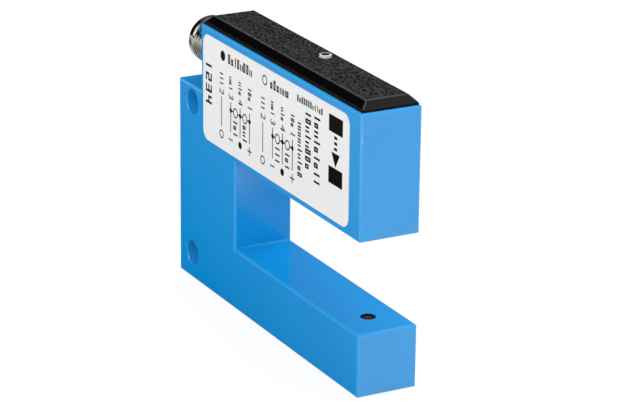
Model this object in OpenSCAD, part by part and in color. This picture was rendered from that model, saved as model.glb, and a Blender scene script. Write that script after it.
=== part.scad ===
// Optical fork sensor: a one-piece metal fork with an emitter in its lower arm, a receiver in its
// upper arm, a plastic lid over the electronics and a round four-pole plug connector at the rear.
// Millimetres. X runs along the arms to their tips, Y through the thickness, Z up.
// The origin is at the centre of the lower arm's underside, and the label faces -Y.

/* [Fork] */
// Clear width of the fork opening, between the arms
fork_width = 15; // [8:0.5:30]
// Depth of the fork opening, from the tips to the spine
fork_depth = 42; // [34:1:60]
// Height of the lower arm
lower_arm_h = 10.5; // [10:0.5:14]
// Height of the upper arm
upper_arm_h = 20.5; // [19.5:0.5:26]
// Length of the spine that joins the arms
spine_l = 21; // [19:0.5:30]
// Thickness of the body
body_t = 10.5; // [10:0.1:13]
// Radius on the outer edges of the body
edge_r = 0.4; // [0.2:0.05:0.6]

/* [Connector recess] */
// Length of the recess cut out of the rear upper corner
recess_l = 8.5; // [8:0.25:11]
// Height of that recess
recess_h = 11.5; // [11:0.25:14]
// Height of the connector's axis above the floor of the recess
connector_rise = 6.4; // [5.5:0.1:7]

/* [Mounting holes] */
// Diameter of the two through holes
hole_d = 4.2; // [3.2:0.1:5]
// Distance of the holes from the rear face
hole_rear = 5; // [4:0.25:7]
// Height of the lower hole above the underside
hole_low = 4.5; // [4:0.25:7]
// Distance of the upper hole below the floor of the connector recess
hole_step = 3; // [2.75:0.25:6]

/* [Walls] */
// Side walls of the electronics pocket
side_wall = 1.25; // [1:0.05:1.6]
// Wall at the tip of the pocket
tip_wall = 2.5; // [1.5:0.25:4]
// Wall that carries the connector
rear_wall = 4; // [3:0.25:5]
// Walls above and below the fork opening, where the optics sit
optic_wall = 2.5; // [2:0.1:3]
// Wall under the duct in the lower arm
base_wall = 2; // [1:0.1:3]
// Width of the wire duct, across the body and along the spine
duct_w = 5; // [4.8:0.1:6]

/* [Lid] */
// Height of the lid above its seal
lid_h = 1.25; // [1:0.05:3]
// Height of the upright band round the foot of the lid
lid_band = 0.15; // [0.1:0.05:0.5]
// Set-back of the lid's foot from the outer faces of the body
lid_inset = 0.5; // [0.3:0.05:0.7]
// Run of the lid's sloping sides
lid_slope = 1.1; // [0.4:0.1:1.6]
// Depth of the skirt that plugs into the pocket
skirt_h = 1.5; // [1:0.1:2]
// Wall of the skirt
skirt_wall = 0.9; // [0.6:0.1:1.2]
// Radius of the snap beads on the skirt
snap_r = 0.25; // [0.15:0.05:0.3]
// Length of a snap bead
snap_l = 6; // [3:0.5:9]
// Thickness of the seal under the lid
seal_t = 0.35; // [0.1:0.05:0.5]
// Set-back of the seal from the outer faces of the body
seal_inset = 0.4; // [0.3:0.05:0.7]

/* [Label] */
// Thickness of the label film
label_t = 0.1; // [0.05:0.01:0.2]
// Corner radius of the label
label_r = 1.8; // [0.5:0.1:4]
// Bare margin between the label and the connector wall
label_rear = 1; // [0.5:0.1:6]
// Bare margin between the label and the tip
label_tip = 3.5; // [1:0.1:12]
// Bare margin between the label and the fork opening
label_low = 1.1; // [0.5:0.1:4]
// Bare margin between the label and the lid
label_top = 1.2; // [0.5:0.1:4]

/* [Optics] */
// Distance of the light beam from the tips
beam_tip = 6.2; // [5.5:0.1:9]
// Outer diameter of the black light stops
stop_d = 2.4; // [2.2:0.1:3.2]
// Diameter of the hole that lets the beam through
aperture_d = 1.4; // [0.6:0.1:1.5]
// Thickness of the stop's lip round that hole
aperture_t = 0.15; // [0.1:0.05:0.8]
// Diameter of the cup that holds a lamp behind each stop
cup_d = 4.6; // [4.2:0.1:4.7]
// Depth of that cup
cup_h = 2; // [1.2:0.1:2.4]
// Room between the wall and the dome of a lamp
lamp_gap = 0.3; // [0.1:0.05:0.5]
// Diameter of the filter windows
window_d = 1.7; // [1.5:0.05:1.9]
// Thickness of the filter windows
window_t = 0.6; // [0.3:0.05:1]
// Diameter of the lamp bodies
lamp_d = 3; // [2.4:0.1:3.2]
// Height of the lamp bodies, dome included
lamp_h = 4.2; // [3.6:0.1:4.2]
// Diameter of the rim at a lamp's base
rim_d = 3.4; // [3.2:0.1:3.8]
// Height of that rim
rim_h = 0.6; // [0.4:0.1:1]
// Diameter of the lamp leads
lead_d = 0.45; // [0.3:0.05:0.5]

/* [Connector] */
// Outer diameter of the threaded barrel
barrel_d = 8; // [8:0.5:8]
// Length of the barrel outside the wall, relief included
barrel_l = 7.8; // [7.7:0.1:10]
// Inner diameter of the barrel
barrel_bore = 6.1; // [5.8:0.05:6.4]
// Diameter of the spigot through the wall and of the relief behind the thread
spigot_d = 6.6; // [6.4:0.05:6.8]
// Inner diameter of the spigot
spigot_bore = 5.3; // [5:0.05:5.6]
// Length of the relief behind the thread, which holds the sealing ring
relief_l = 1.2; // [1:0.05:1.6]
// Depth of the socket in front of the pin carrier
socket_h = 5.2; // [4.6:0.1:5.6]
// Thickness of the pin carrier's flange
flange_t = 1.2; // [0.8:0.1:1.4]
// Diameter of the contact pins
pin_d = 0.8; // [0.6:0.05:1]
// Distance that the pin tips stay behind the barrel's end
pin_setback = 0.8; // [0.4:0.1:2]
// Vertical distance between the two rows of pins
pin_rows = 2.5; // [2:0.1:2.8]
// Width of the coding key in the socket
key_w = 0.9; // [0.6:0.1:1.4]
// Height of the coding key
key_h = 0.45; // [0.3:0.05:0.6]

/* [Circuit board] */
// Thickness of the board
board_t = 1; // [0.8:0.1:1.6]
// Height of the board's lower edge above the pocket floor
board_rise = 5; // [4.7:0.1:6]
// Distance of the board's upper edge below the rim of the body
board_drop = 2.5; // [2.2:0.1:4]
// Gap between the board and the ends of the pocket
board_end = 1.5; // [1:0.1:2]
// Gap between the pin carrier and the board
carrier_gap = 0.7; // [0.3:0.1:0.9]
// Length of the contact pins' tails beside the board
tail_l = 4; // [2:0.25:5]
// Width of the cast ribs that hold the board
rib_w = 1.6; // [1:0.1:2]
// Height of the ribs above the board's lower edge
rib_grip = 8; // [4:0.5:8]
// Distance of the first rib from the spine's inner face
rib_spine = 2.5; // [2:0.25:6]
// Distance of the second rib from the light beam
rib_beam = 5.3; // [4:0.1:8]
// Diameter of the emitter's insulated wires
wire_d = 0.8; // [0.5:0.05:0.85]
// Distance of the wires from the rear edge of the board
wire_in = 1; // [0.6:0.1:2]
// Length of the wires beside the board
wire_up = 2; // [1:0.25:4]

/* [Components] */
// Length of the amplifier's package
amplifier_l = 8.6; // [5:0.1:9]
// Length of the output chip's package
output_l = 4.9; // [3:0.1:6]
// Thickness of both chip packages
chip_t = 1.5; // [1:0.1:2]
// Height of both chip packages
chip_h = 3.9; // [2:0.1:5]
// Length of the supply capacitor
capacitor_l = 6; // [3:0.1:6]
// Thickness of the supply capacitor
capacitor_t = 2.5; // [1:0.1:3]
// Height of the supply capacitor
capacitor_h = 3.2; // [2:0.1:4]
// Length of the protection diode
diode_l = 4.3; // [2:0.1:5]
// Thickness of the protection diode
diode_t = 2.2; // [1:0.1:3]
// Height of the protection diode
diode_h = 2.6; // [1:0.1:4]
// Gap between a component and the rib beside it
component_gap = 1.2; // [0.5:0.1:2]
// Share of the board's height at which the components sit
component_level = 0.3; // [0.25:0.05:0.6]

/* [Indicator] */
// Distance of the indicator from the tips
indicator_tip = 24; // [22:0.5:27]
// Diameter of the light guide in the lid
guide_d = 2; // [1.4:0.1:2.4]
// Height that the light guide stands proud of the lid
guide_proud = 0.45; // [0.3:0.05:0.6]
// Bevel round the head of the light guide
guide_bevel = 0.15; // [0.05:0.05:0.2]
// Wall of the hollow in the head of the light guide
hollow_wall = 0.3; // [0.25:0.05:0.4]
// Depth of that hollow
hollow_h = 0.5; // [0.2:0.05:0.8]
// Offset of the light guide from the lamp below it, towards the middle of the lid
guide_offset = 0.7; // [0:0.1:0.7]
// Diameter of the light guide's flange under the lid
guide_flange_d = 3; // [2.6:0.1:3.2]
// Thickness of that flange
guide_flange_t = 0.5; // [0.3:0.1:0.8]
// Distance of the indicator lamp's dome below the rim of the body
indicator_drop = 2.7; // [2.3:0.1:4]
// Gap between that dome and the light guide
guide_gap = 0.3; // [0.1:0.1:0.6]
// Length of the indicator lamp's leads
indicator_lead = 1.2; // [0.5:0.1:2]

/* [Hidden] */
$fn = 64;
// Running room between pieces that slide together on assembly
fit = 0.05;
// Room between the lid's skirt and the pocket
skirt_fit = 0.1;
// Overshoot of a cutting solid past the face that it opens
over = 1;
// Chamfer at both ends of the barrel's thread
barrel_chamfer = 0.5;
// Chamfer on the mouths of the mounting holes
mouth_chamfer = 0.15;

body_l = spine_l + fork_depth;
body_h = lower_arm_h + fork_width + upper_arm_h;
x_rear = -body_l / 2;
x_tip = body_l / 2;
x_spine = x_rear + spine_l;
x_wall = x_rear + recess_l;
x_beam = x_tip - beam_tip;
z_fork_low = lower_arm_h;
z_fork_high = lower_arm_h + fork_width;
z_step = body_h - recess_h;
z_axis = z_step + connector_rise;

pocket_x0 = x_wall + rear_wall;
pocket_x1 = x_tip - tip_wall;
pocket_w = body_t - 2 * side_wall;
pocket_z = z_fork_high + optic_wall;
duct_z1 = z_fork_low - optic_wall;

lid_x0 = x_wall + lid_inset;
lid_x1 = x_tip - lid_inset;
lid_w = body_t - 2 * lid_inset;
lid_z0 = body_h + seal_t;
lid_z1 = lid_z0 + lid_h;
skirt_in = skirt_fit + skirt_wall;
snap_z = body_h - skirt_h / 2;
snap_xs = [for (share = [0.25, 0.75]) pocket_x0 + share * (pocket_x1 - pocket_x0)];

// Distances along a light stop, from the fork face into the arm
seat_depth = aperture_t;
cup_depth = optic_wall + cup_h;
lamp_apex = optic_wall + lamp_gap;
lamp_base = lamp_apex + lamp_h;

board_x0 = pocket_x0 + board_end;
board_x1 = pocket_x1 - board_end;
board_z0 = pocket_z + board_rise;
board_z1 = body_h - board_drop;
rib_xs = [x_spine + rib_spine, x_beam - rib_beam];
lead_y = board_t / 2 + lead_d / 2 + fit;
wire_y = board_t / 2 + wire_d / 2 + fit;
pin_y = board_t / 2 + pin_d / 2 + fit;
pin_places = [for (row = [1, -1], side = [-1, 1]) [side * pin_y, row * pin_rows / 2]];
carrier_rear = board_x0 - carrier_gap;
pin_tail = board_x0 + tail_l;

indicator_x = x_tip - indicator_tip;
indicator_y = board_t / 2 + rim_d / 2 + fit;
indicator_apex = body_h - indicator_drop;
guide_y = indicator_y - guide_offset;

wire_z = base_wall + wire_d / 2 + fit;
wire_riser_x = board_x0 + wire_in;
wire_end_z = board_z0 + wire_up;

component_z = board_z0 + component_level * (board_z1 - board_z0);
component_side = rib_w / 2 + component_gap;
hole_places = [[x_rear + hole_rear, hole_low], [x_rear + hole_rear, z_step - hole_step]];

// Carries an outline drawn as (y, z) along X
module along_x(length) rotate([90, 0, 90]) linear_extrude(length) children();

// Carries an outline drawn as (x, z) along Y, centred on the body's middle plane
module along_y(length) rotate([90, 0, 0]) linear_extrude(length, center = true) children();

// Box between two corners
module span(low, high) translate(low) cube(high - low);

// Rectangle with rounded corners, its lower left corner at the origin
module rounded_rect(w, h, r) {
    translate([r, 0]) square([w - 2 * r, h]);
    translate([0, r]) square([w, h - 2 * r]);
    for (x = [r, w - r], y = [r, h - r]) translate([x, y]) circle(r);
}

// Rounded rectangle between two corners
module corner_rect(low, high) translate(low) rounded_rect(high[0] - low[0], high[1] - low[1], edge_r);

// Side outline of the fork: lower arm, spine and upper arm
module fork_side() {
    corner_rect([x_rear, 0], [x_tip, z_fork_low]);
    corner_rect([x_rear, 0], [x_spine, z_step]);
    corner_rect([x_wall, z_fork_high], [x_tip, body_h]);
}

// Outline of a cut between two levels, flared where it leaves the two faces of the body
module flared(low, high) {
    half = body_t / 2;
    translate([-half - over, low]) square([body_t + 2 * over, high - low]);
    for (side = [-1, 1]) scale([side, 1]) difference() {
        translate([half - edge_r, low - edge_r]) square([edge_r + over, high - low + 2 * edge_r]);
        for (level = [low - edge_r, high + edge_r]) translate([half - edge_r, level]) circle(edge_r);
    }
}

// Cut through the thickness between two corners of the side view, with its rims rounded
module rimmed_cut(low, high) {
    intersection() {
        translate([low[0] - over, 0, 0]) along_x(high[0] - low[0] + 2 * over) flared(low[1], high[1]);
        translate([0, 0, low[1] - over]) linear_extrude(high[1] - low[1] + 2 * over)
            rotate(-90) flared(low[0], high[0]);
    }
}

// Solid fork with all its outer edges rounded
module rounded_fork() {
    difference() {
        intersection() {
            along_y(body_t + 2 * over) fork_side();
            translate([x_rear - over, -body_t / 2, 0]) along_x(body_l + 2 * over)
                rounded_rect(body_t, body_h, edge_r);
            translate([x_rear, -body_t / 2, -over]) linear_extrude(body_h + 2 * over)
                rounded_rect(body_l, body_t, edge_r);
        }
        rimmed_cut([x_spine, z_fork_low], [x_tip + over, z_fork_high]);
        rimmed_cut([x_rear - over, z_step], [x_wall, body_h + over]);
    }
}

// Room for the electronics in the upper arm, open at the top, with ribs and a ledge for the board
module pocket() {
    difference() {
        span([pocket_x0, -pocket_w / 2, pocket_z], [pocket_x1, pocket_w / 2, body_h + over]);
        for (x = rib_xs) difference() {
            span([x - rib_w / 2, -pocket_w / 2, pocket_z - over],
                [x + rib_w / 2, pocket_w / 2, board_z0 + rib_grip]);
            span([x - rib_w / 2 - over, -board_t / 2 - fit, board_z0],
                [x + rib_w / 2 + over, board_t / 2 + fit, body_h]);
        }
    }
    for (x = snap_xs, side = [-1, 1]) snap_bead(x, side, snap_r + fit);
}

// Snap bead, or the groove that takes it, on one long wall of the pocket
module snap_bead(x, side, r) {
    translate([x - snap_l / 2, side * (pocket_w / 2 - skirt_fit), snap_z])
        rotate([0, 90, 0]) cylinder(r = r, h = snap_l);
}

// Way for the emitter's wires, down the spine and along the lower arm
module wire_duct() {
    span([pocket_x0, -duct_w / 2, base_wall], [pocket_x0 + duct_w, duct_w / 2, pocket_z + over]);
    span([pocket_x0, -duct_w / 2, base_wall], [x_beam + duct_w / 2, duct_w / 2, duct_z1]);
}

// Through hole for a fixing screw, with both mouths broken
module mounting_hole() {
    rotate([90, 0, 0]) cylinder(d = hole_d, h = body_t + 2 * over, center = true);
    for (side = [-1, 1]) rotate([side * 90, 0, 0]) translate([0, 0, body_t / 2 - mouth_chamfer])
        cylinder(d1 = hole_d, d2 = hole_d + 4 * mouth_chamfer, h = 2 * mouth_chamfer);
}

module housing() {
    color("dodgerblue") difference() {
        rounded_fork();
        pocket();
        wire_duct();
        for (place = hole_places) translate([place[0], 0, place[1]]) mounting_hole();
        translate([x_wall - over, 0, z_axis]) rotate([0, 90, 0])
            cylinder(d = spigot_d + 2 * fit, h = rear_wall + 2 * over);
        translate([x_beam, 0, duct_z1 - over]) cylinder(d = stop_d + 2 * fit, h = optic_wall + 2 * over);
        translate([x_beam, 0, z_fork_high - over]) cylinder(d = stop_d + 2 * fit, h = optic_wall + 2 * over);
    }
}

// Side outline of the lid: an upright foot under sloping sides, from one end to the other
module lid_outline(low, high) {
    polygon([
        [low, lid_z0], [high, lid_z0], [high, lid_z0 + lid_band], [high - lid_slope, lid_z1],
        [low + lid_slope, lid_z1], [low, lid_z0 + lid_band]
    ]);
}

// Frame that follows the pocket's mouth
module pocket_frame(z0, z1, gap, wall) {
    difference() {
        span([pocket_x0 + gap, -pocket_w / 2 + gap, z0], [pocket_x1 - gap, pocket_w / 2 - gap, z1]);
        span([pocket_x0 + gap + wall, -pocket_w / 2 + gap + wall, z0 - over],
            [pocket_x1 - gap - wall, pocket_w / 2 - gap - wall, z1 + over]);
    }
}

module lid() {
    color("dimgray") difference() {
        union() {
            intersection() {
                along_y(body_t) lid_outline(lid_x0, lid_x1);
                translate([x_rear, 0, 0]) along_x(body_l) lid_outline(-lid_w / 2, lid_w / 2);
            }
            pocket_frame(body_h - skirt_h, lid_z0 + lid_band, skirt_fit, skirt_wall);
            intersection() {
                for (x = snap_xs, side = [-1, 1]) snap_bead(x, side, snap_r);
                span([pocket_x0, -body_t / 2, body_h - skirt_h], [pocket_x1, body_t / 2, body_h]);
            }
        }
        // Room inside the skirt, so that the beads stay on its outer face
        span([pocket_x0 + skirt_in, -pocket_w / 2 + skirt_in, body_h - skirt_h - over],
            [pocket_x1 - skirt_in, pocket_w / 2 - skirt_in, lid_z0]);
        // Gap in the skirt beside the light guide
        span([indicator_x - guide_flange_d / 2 - fit, 0, body_h - skirt_h - over],
            [indicator_x + guide_flange_d / 2 + fit, pocket_w / 2, lid_z0]);
        translate([indicator_x, guide_y, body_h])
            cylinder(d = guide_d + 2 * fit, h = seal_t + lid_h + over);
    }
}

module lid_seal() {
    color("black") difference() {
        span([x_wall + seal_inset, seal_inset - body_t / 2, body_h],
            [x_tip - seal_inset, body_t / 2 - seal_inset, lid_z0]);
        span([pocket_x0, -pocket_w / 2, body_h - over], [pocket_x1, pocket_w / 2, lid_z0 + over]);
    }
}

// Light guide from the indicator lamp through the lid, with a hollow in its bevelled head
module light_guide() {
    stem_z = indicator_apex + guide_gap;
    head_z = lid_z1 + guide_proud;
    color("white") translate([indicator_x, guide_y, 0]) difference() {
        union() {
            rotate_extrude() polygon([
                [0, stem_z], [guide_d / 2, stem_z], [guide_d / 2, head_z - guide_bevel],
                [guide_d / 2 - guide_bevel, head_z], [0, head_z]
            ]);
            translate([0, 0, lid_z0 - fit - guide_flange_t]) cylinder(d = guide_flange_d, h = guide_flange_t);
        }
        translate([0, 0, head_z - hollow_h])
            cylinder(d = guide_d - 2 * hollow_wall, h = hollow_h + over);
    }
}

module type_label() {
    label_l = x_tip - label_tip - x_wall - label_rear;
    label_h = upper_arm_h - label_low - label_top;
    color("whitesmoke") translate([x_wall + label_rear, -body_t / 2, z_fork_high + label_low])
        rotate([90, 0, 0]) linear_extrude(label_t) rounded_rect(label_l, label_h, label_r);
}

// Turns a profile of (radius, distance out from the connector wall) about the connector's axis
module turned_on_axis() translate([x_wall, 0, z_axis]) rotate([0, -90, 0]) rotate_extrude() children();

module connector_barrel() {
    socket_floor = barrel_l - socket_h - flange_t;
    color("silver") turned_on_axis() polygon([
        [spigot_bore / 2, -rear_wall], [spigot_d / 2, -rear_wall],
        [spigot_d / 2, relief_l], [barrel_d / 2 - barrel_chamfer, relief_l],
        [barrel_d / 2, relief_l + barrel_chamfer], [barrel_d / 2, barrel_l - barrel_chamfer],
        [barrel_d / 2 - barrel_chamfer, barrel_l], [barrel_bore / 2, barrel_l],
        [barrel_bore / 2, socket_floor], [spigot_bore / 2, socket_floor]
    ]);
}

module sealing_ring() {
    section_d = relief_l - 2 * fit;
    color("black") turned_on_axis()
        translate([spigot_d / 2 + fit + section_d / 2, relief_l / 2]) circle(d = section_d);
}

// Plastic body that carries the pins, with the coding key along the socket's wall
module pin_carrier() {
    flange_face = barrel_l - socket_h;
    flange_r = barrel_bore / 2 - fit;
    color("darkslategray") difference() {
        union() {
            turned_on_axis() polygon([
                [0, x_wall - carrier_rear], [spigot_bore / 2 - fit, x_wall - carrier_rear],
                [spigot_bore / 2 - fit, flange_face - flange_t], [flange_r, flange_face - flange_t],
                [flange_r, flange_face], [0, flange_face]
            ]);
            intersection() {
                turned_on_axis() translate([0, flange_face - flange_t]) square([flange_r, socket_h]);
                span([x_wall - barrel_l, -key_w / 2, z_axis + flange_r - key_h],
                    [x_wall, key_w / 2, z_axis + flange_r]);
            }
        }
        for (place = pin_places) translate([x_rear, place[0], z_axis + place[1]])
            rotate([0, 90, 0]) cylinder(d = pin_d + 2 * fit, h = body_l);
    }
}

// Contact pin with a rounded nose, from the socket to the board
module contact_pin(place) {
    nose_x = x_wall - barrel_l + pin_setback + pin_d / 2;
    color("gold") translate([nose_x, place[0], z_axis + place[1]]) {
        sphere(d = pin_d);
        rotate([0, 90, 0]) cylinder(d = pin_d, h = pin_tail - nose_x);
    }
}

// Black bush that narrows the beam: lip, window seat and lamp cup, from the fork face upwards
module light_stop() {
    color("black") rotate_extrude() polygon([
        [aperture_d / 2, 0], [stop_d / 2, 0], [stop_d / 2, optic_wall], [cup_d / 2, optic_wall],
        [cup_d / 2, cup_depth], [lamp_d / 2 + fit, cup_depth], [lamp_d / 2 + fit, optic_wall],
        [window_d / 2 + fit, optic_wall], [window_d / 2 + fit, seat_depth], [aperture_d / 2, seat_depth]
    ]);
}

module filter_window() color("firebrick") translate([0, 0, seat_depth]) cylinder(d = window_d, h = window_t);

// Domed lamp with its apex at the origin, its base above and two leads going on upwards
module domed_lamp(lead_l, lead_turn = 0) {
    translate([0, 0, lamp_d / 2]) {
        sphere(d = lamp_d);
        cylinder(d = lamp_d, h = lamp_h - lamp_d / 2);
    }
    translate([0, 0, lamp_h - rim_h]) cylinder(d = rim_d, h = rim_h);
    rotate(lead_turn) for (side = [-1, 1]) translate([0, side * lead_y, lamp_h - over])
        cylinder(d = lead_d, h = lead_l + over);
}

// Places what is drawn from the fork face upwards on the receiver's side, or on the emitter's
module at_receiver() translate([x_beam, 0, z_fork_high]) children();
module at_emitter() translate([x_beam, 0, z_fork_low]) rotate([180, 0, 0]) children();

module emitter_stop() at_emitter() light_stop();
module emitter_window() at_emitter() filter_window();
module emitter_lamp() {
    lead_l = z_fork_low - lamp_base - wire_z - wire_d / 2 - fit;
    color("mistyrose") at_emitter() translate([0, 0, lamp_apex]) domed_lamp(lead_l);
}

module receiver_stop() at_receiver() light_stop();
module receiver_window() at_receiver() filter_window();
module receiver_lamp() {
    color("darkslategray") at_receiver() translate([0, 0, lamp_apex]) domed_lamp(board_rise);
}

// Insulated wire from the emitter along the duct and up to the board
module emitter_wire(side, shade) {
    color(shade) translate([0, side * wire_y, wire_z]) {
        translate([wire_riser_x, 0, 0]) {
            sphere(d = wire_d);
            cylinder(d = wire_d, h = wire_end_z - wire_z);
            rotate([0, 90, 0]) cylinder(d = wire_d, h = x_beam + lead_d / 2 - wire_riser_x);
        }
    }
}

module circuit_board() {
    color("seagreen") span([board_x0, -board_t / 2, board_z0], [board_x1, board_t / 2, board_z1]);
}

module indicator_lamp() {
    color("gold") translate([indicator_x, indicator_y, indicator_apex]) rotate([180, 0, 0])
        domed_lamp(indicator_lead, 90);
}

// Moulded component on one face of the board
module on_board(side, x, size) {
    translate([x, side * (board_t + size[1]) / 2, component_z]) cube(size, center = true);
}

module amplifier_chip() {
    color("dimgray") on_board(-1, (rib_xs[0] + rib_xs[1]) / 2, [amplifier_l, chip_t, chip_h]);
}

module output_chip() {
    color("dimgray") on_board(-1, rib_xs[0] + component_side + output_l / 2, [output_l, chip_t, chip_h]);
}

module supply_capacitor() {
    color("goldenrod") on_board(1, rib_xs[0] + component_side + capacitor_l / 2,
        [capacitor_l, capacitor_t, capacitor_h]);
}

module protection_diode() {
    color("dimgray") on_board(1, rib_xs[1] - component_side - diode_l / 2, [diode_l, diode_t, diode_h]);
}

housing();
lid();
lid_seal();
light_guide();
type_label();
connector_barrel();
sealing_ring();
pin_carrier();
for (i = [0:3]) contact_pin(pin_places[i]);
emitter_stop();
emitter_window();
emitter_lamp();
emitter_wire(-1, "firebrick");  // emitter_wire_plus
emitter_wire(1, "black");  // emitter_wire_minus
receiver_stop();
receiver_window();
receiver_lamp();
circuit_board();
indicator_lamp();
amplifier_chip();
output_chip();
supply_capacitor();
protection_diode();
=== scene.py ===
"""Looks of the fork sensor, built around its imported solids.

All places are in metres, in the part's own frame. Only the label is laid out in mm.
"""

from __future__ import annotations

import logging
import math
from collections.abc import Iterable, Sequence
from dataclasses import dataclass, field
from enum import Enum, IntEnum

import bmesh
import bpy
from mathutils import Matrix, Vector


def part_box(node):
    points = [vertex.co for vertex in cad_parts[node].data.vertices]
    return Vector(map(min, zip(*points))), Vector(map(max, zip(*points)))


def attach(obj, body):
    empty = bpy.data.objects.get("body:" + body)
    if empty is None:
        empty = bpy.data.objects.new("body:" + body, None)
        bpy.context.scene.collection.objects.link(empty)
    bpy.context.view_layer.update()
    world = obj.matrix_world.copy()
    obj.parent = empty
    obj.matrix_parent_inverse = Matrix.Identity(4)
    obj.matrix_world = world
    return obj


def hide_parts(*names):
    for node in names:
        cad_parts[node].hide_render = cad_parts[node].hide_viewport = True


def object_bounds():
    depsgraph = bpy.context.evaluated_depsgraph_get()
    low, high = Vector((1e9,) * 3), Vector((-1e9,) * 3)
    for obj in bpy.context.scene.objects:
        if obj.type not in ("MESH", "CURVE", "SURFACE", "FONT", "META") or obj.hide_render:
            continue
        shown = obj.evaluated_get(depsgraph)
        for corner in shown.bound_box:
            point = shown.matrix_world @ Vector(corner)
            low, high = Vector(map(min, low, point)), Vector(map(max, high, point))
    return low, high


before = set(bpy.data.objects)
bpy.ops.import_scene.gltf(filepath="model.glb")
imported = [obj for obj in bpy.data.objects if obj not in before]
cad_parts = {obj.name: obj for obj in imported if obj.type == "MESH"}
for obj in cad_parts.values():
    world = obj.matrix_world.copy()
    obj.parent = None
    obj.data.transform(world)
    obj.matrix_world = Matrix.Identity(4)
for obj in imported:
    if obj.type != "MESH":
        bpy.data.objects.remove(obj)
CAD_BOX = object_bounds()

LOG = logging.getLogger("fork_sensor")
MM = 0.001
BODY = "root"
LEVEL_SHARE = 0.99999
WELD_GAP = 0.001 * MM
FULL_LEVEL = 255
CURVE_START = 0.04045
CURVE_SLOPE = 12.92
CURVE_SHIFT = 0.055
CURVE_POWER = 2.4
NOISE_MIDDLE = 0.5
MIX_SHARE = 0
MIX_FIRST = 6
MIX_SECOND = 7
MIX_RESULT = 2
Colour = tuple[float, float, float]
Point2 = tuple[float, float]
Corners = list[bmesh.types.BMVert]
WHITE: Colour = (1.0, 1.0, 1.0)


def paint(red: float, green: float, blue: float) -> Colour:
    """Turns a display colour into a linear one.

    Args:
        red: display red, 0 to 255.
        green: display green, 0 to 255.
        blue: display blue, 0 to 255.

    Returns:
        The linear colour.
    """

    def linear(level: float) -> float:
        """Takes one display level to its linear share.

        Args:
            level: display level, 0 to 255.

        Returns:
            The linear share, 0 to 1.
        """
        share = level / FULL_LEVEL
        if share <= CURVE_START:
            return share / CURVE_SLOPE
        return ((share + CURVE_SHIFT) / (1 + CURVE_SHIFT)) ** CURVE_POWER

    return linear(red), linear(green), linear(blue)


class MathStep(Enum):
    """Operations that a wire's arithmetic uses."""

    ADD = "ADD"
    SUBTRACT = "SUBTRACT"
    MULTIPLY = "MULTIPLY"
    DIVIDE = "DIVIDE"
    LEAST = "MINIMUM"
    MOST = "MAXIMUM"
    ABOVE = "GREATER_THAN"
    WAVE = "SINE"


class Wire:
    """Output socket that takes part in Python arithmetic."""

    def __init__(self, graph: NodeGraph, socket: bpy.types.NodeSocket) -> None:
        """Keeps the graph and the socket."""
        self.graph = graph
        self.socket = socket

    def _step(self, step: MathStep, *terms: Wire | float) -> Wire:
        """Adds one Math node for the terms, in order, and gives its result."""
        return self.graph.wire("ShaderNodeMath", {"operation": step.value}, dict(enumerate(terms)))

    def __add__(self, other: Wire | float) -> Wire:
        """Sum."""
        return self._step(MathStep.ADD, self, other)

    def __radd__(self, other: float) -> Wire:
        """Sum with a number in front."""
        return self._step(MathStep.ADD, other, self)

    def __sub__(self, other: Wire | float) -> Wire:
        """Difference."""
        return self._step(MathStep.SUBTRACT, self, other)

    def __rsub__(self, other: float) -> Wire:
        """Difference with a number in front."""
        return self._step(MathStep.SUBTRACT, other, self)

    def __mul__(self, other: Wire | float) -> Wire:
        """Product."""
        return self._step(MathStep.MULTIPLY, self, other)

    def __rmul__(self, other: float) -> Wire:
        """Product with a number in front."""
        return self._step(MathStep.MULTIPLY, other, self)

    def __truediv__(self, other: Wire | float) -> Wire:
        """Quotient."""
        return self._step(MathStep.DIVIDE, self, other)

    def __rtruediv__(self, other: float) -> Wire:
        """Quotient with a number in front."""
        return self._step(MathStep.DIVIDE, other, self)

    def __gt__(self, other: Wire | float) -> Wire:
        """One where this is the greater."""
        return self._step(MathStep.ABOVE, self, other)

    def most(self, other: Wire | float) -> Wire:
        """Greater of the two."""
        return self._step(MathStep.MOST, self, other)

    def least(self, other: Wire | float) -> Wire:
        """Smaller of the two."""
        return self._step(MathStep.LEAST, self, other)

    def wave(self) -> Wire:
        """Sine of the value."""
        return self._step(MathStep.WAVE, self)

    def swing(self, amount: float) -> Wire:
        """Swing of a noise about its middle, by the amount from end to end."""
        return (self - NOISE_MIDDLE) * amount


SocketValue = Wire | float | int | bool | Sequence[float] | bpy.types.Material
Settings = dict[str, object] | None
Sockets = dict[str | int, SocketValue] | None


class NodeGraph:
    """Node tree that is written from Python."""

    def __init__(self, tree: bpy.types.NodeTree) -> None:
        """Keeps the tree that the nodes go into."""
        self.tree = tree

    def node(self, kind: str, settings: Settings = None, sockets: Sockets = None) -> bpy.types.Node:
        """Adds one node.

        Args:
            kind: Blender's type name of the node.
            settings: properties, set before the sockets.
            sockets: values or wires for the inputs, by name or number.

        Returns:
            The new node.
        """
        made = self.tree.nodes.new(kind)
        for name, value in (settings or {}).items():
            setattr(made, name, value)
        for key, value in (sockets or {}).items():
            self.feed(made.inputs[key], value)
        return made

    def wire(
        self, kind: str, settings: Settings = None, sockets: Sockets = None, output: str | int = 0
    ) -> Wire:
        """Adds one node, as above, and takes one of its outputs by name or number."""
        return Wire(self, self.node(kind, settings, sockets).outputs[output])

    def feed(self, socket: bpy.types.NodeSocket, value: SocketValue) -> None:
        """Links a wire to an input, or sets the input's own value.

        Args:
            socket: the input.
            value: wire or plain value; a colour of three numbers gets full alpha.
        """
        if isinstance(value, Wire):
            self.tree.links.new(value.socket, socket)
        elif socket.type == "RGBA" and len(value) == 3:
            socket.default_value = (*value, 1.0)
        else:
            socket.default_value = value


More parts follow.
